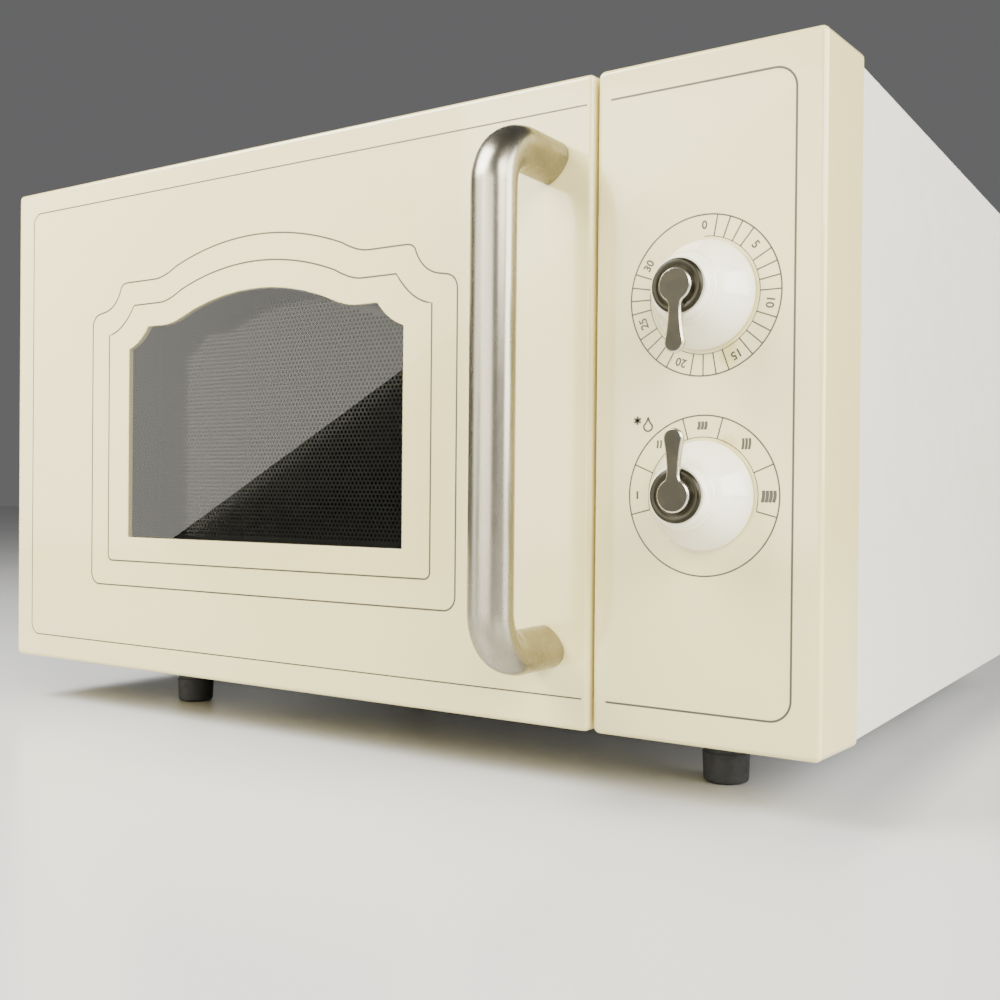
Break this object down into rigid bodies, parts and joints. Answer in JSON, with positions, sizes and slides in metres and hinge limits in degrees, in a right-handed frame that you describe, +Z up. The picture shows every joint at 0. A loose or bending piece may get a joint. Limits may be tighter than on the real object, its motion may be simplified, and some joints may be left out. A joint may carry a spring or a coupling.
{
  "type": "microwave oven",
  "caption": "Countertop microwave oven with an arched window in a left-hinged door, a bar handle, turning timer and power knobs and a glass turntable on a roller ring.",
  "frame": {"origin": "on the floor under the middle of the whole oven's box, handle and cord gland included", "axes": "+X along the width, to the right as seen from the front; +Y from the door to the back; +Z up"},
  "size_m": [0.456, 0.398, 0.28],
  "materials": {
    "cream_gloss": "glossy cream moulding",
    "cream_paint": "smooth cream enamel",
    "galvanised_steel": "dull zinc-coated sheet",
    "black_plastic": "fine matt",
    "black_rubber": "matt",
    "screen_black": "matt black, perforated over the window",
    "window_glass": "smoked and polished",
    "clear_film": "clear",
    "tray_glass": "clear, polished",
    "lamp_glass": "clear",
    "satin_nickel": "satin warm nickel",
    "antique_nickel": "darkened antique nickel with bright edges",
    "ivory_gloss": "glossy ivory",
    "screw_steel": "bright plated",
    "shaft_steel": "turned",
    "white_plastic": "natural white",
    "red_plastic": "smooth",
    "transformer_iron": "varnished laminations",
    "copper_winding": "enamelled copper wire",
    "magnetron_metal": "pressed sheet and fins",
    "can_aluminium": "drawn can",
    "unit_plastic": "natural moulded plastic",
    "motor_iron": "varnished laminations",
    "mica_board": "mica sheet",
    "circuit_board": "green laminate with components"
  },
  "bodies": {
    "oven_body": {"control_panel": "cream_gloss", "cabinet_wrapper": "cream_paint", "back_panel": "cream_paint", "base_pan": "galvanised_steel", "foot_front_left": "black_rubber", "foot_front_right": "black_rubber", "foot_rear_left": "black_rubber", "foot_rear_right": "black_rubber", "front_plate": "galvanised_steel", "back_screw_left": "screw_steel", "back_screw_right": "screw_steel", "cord_gland": "black_plastic", "cavity": "cream_paint", "turntable_motor": "galvanised_steel", "hinge_bracket_top": "galvanised_steel", "hinge_pin_top": "screw_steel", "hinge_bracket_bottom": "galvanised_steel", "hinge_pin_bottom": "screw_steel", "timer_unit": "unit_plastic", "power_unit": "unit_plastic", "interlock_bracket": "black_plastic", "door_switch_lower": "black_plastic", "door_switch_upper": "black_plastic", "transformer_core": "transformer_iron", "transformer_winding": "copper_winding", "capacitor": "can_aluminium", "waveguide": "galvanised_steel", "magnetron": "magnetron_metal", "waveguide_cover": "mica_board", "fan_shroud": "galvanised_steel", "fan_motor": "motor_iron", "oven_lamp": "lamp_glass", "filter_board": "circuit_board"},
    "door": {"door_front": "cream_gloss", "door_window": "window_glass", "door_screen": "screen_black", "door_inner_film": "clear_film", "door_frame": "galvanised_steel", "door_back_cover": "black_plastic", "handle": "satin_nickel", "handle_screw_bottom": "screw_steel", "handle_screw_top": "screw_steel"},
    "latch": {"latch_lever": "black_plastic", "latch_spring": "screw_steel"},
    "timer_dial": {"timer_knob": "ivory_gloss", "timer_lever": "antique_nickel", "timer_shaft": "shaft_steel"},
    "power_dial": {"power_knob": "ivory_gloss", "power_lever": "antique_nickel", "power_shaft": "shaft_steel"},
    "turntable_drive": {"turntable_coupler": "white_plastic"},
    "roller_support": {"roller_ring": "white_plastic"},
    "wheel_1": {"roller_wheel_1": "white_plastic"},
    "wheel_2": {"roller_wheel_2": "white_plastic"},
    "wheel_3": {"roller_wheel_3": "white_plastic"},
    "tray": {"glass_turntable": "tray_glass"},
    "fan": {"fan_blade": "black_plastic"},
    "lower_button": {"switch_button_lower": "red_plastic"},
    "upper_button": {"switch_button_upper": "red_plastic"}
  },
  "joints": [
    {"name": "door_hinge", "type": "hinge", "parent": "oven_body", "child": "door", "pos_m": [-0.218, -0.135, 0.1505], "axis": [0, 0, -1], "range_deg": [0, 100]},
    {"name": "latch_slide", "type": "slide", "parent": "door", "child": "latch", "axis": [0, 0, 1], "range_m": [0, 0.004], "stiffness_N_per_m": 300, "springref_m": -0.003, "deforming": ["latch_spring"]},
    {"name": "timer_turn", "type": "hinge", "parent": "oven_body", "child": "timer_dial", "pos_m": [0.18225, -0.153, 0.1884], "axis": [0, 1, 0], "range_deg": [-180, 120]},
    {"name": "power_turn", "type": "hinge", "parent": "oven_body", "child": "power_dial", "pos_m": [0.18225, -0.153, 0.1155], "axis": [0, 1, 0], "range_deg": [-90, 90]},
    {"name": "turntable_spin", "type": "hinge", "parent": "oven_body", "child": "turntable_drive", "pos_m": [-0.05, 0.033, 0.0545], "axis": [0, 0, 1], "continuous": true},
    {"name": "roller_ring_spin", "type": "hinge", "parent": "oven_body", "child": "roller_support", "pos_m": [-0.05, 0.033, 0.0545], "axis": [0, 0, 1], "continuous": true},
    {"name": "wheel_1_spin", "type": "hinge", "parent": "roller_support", "child": "wheel_1", "pos_m": [0.04007, 0.085, 0.0571], "axis": [0.866, 0.5, 0], "continuous": true},
    {"name": "wheel_2_spin", "type": "hinge", "parent": "roller_support", "child": "wheel_2", "pos_m": [-0.14007, 0.085, 0.0571], "axis": [-0.866, 0.5, 0], "continuous": true},
    {"name": "wheel_3_spin", "type": "hinge", "parent": "roller_support", "child": "wheel_3", "pos_m": [-0.05, -0.071, 0.0571], "axis": [0, -1, 0], "continuous": true},
    {"name": "tray_lift", "type": "slide", "parent": "turntable_drive", "child": "tray", "axis": [0, 0, 1], "range_m": [0, 0.12]},
    {"name": "fan_spin", "type": "hinge", "parent": "oven_body", "child": "fan", "pos_m": [0.167, 0.178, 0.1195], "axis": [0, 1, 0], "continuous": true},
    {"name": "lower_button_press", "type": "slide", "parent": "oven_body", "child": "lower_button", "axis": [0, 1, 0], "range_m": [0, 0.0012], "stiffness_N_per_m": 500},
    {"name": "upper_button_press", "type": "slide", "parent": "oven_body", "child": "upper_button", "axis": [0, 1, 0], "range_m": [0, 0.0012], "stiffness_N_per_m": 500}
  ],
  "couplings": [
    {"joint": "roller_ring_spin", "follows": "turntable_spin", "ratio": 0.5},
    {"joint": "wheel_1_spin", "follows": "turntable_spin", "ratio": -7.1233},
    {"joint": "wheel_2_spin", "follows": "turntable_spin", "ratio": -7.1233},
    {"joint": "wheel_3_spin", "follows": "turntable_spin", "ratio": -7.1233}
  ]
}
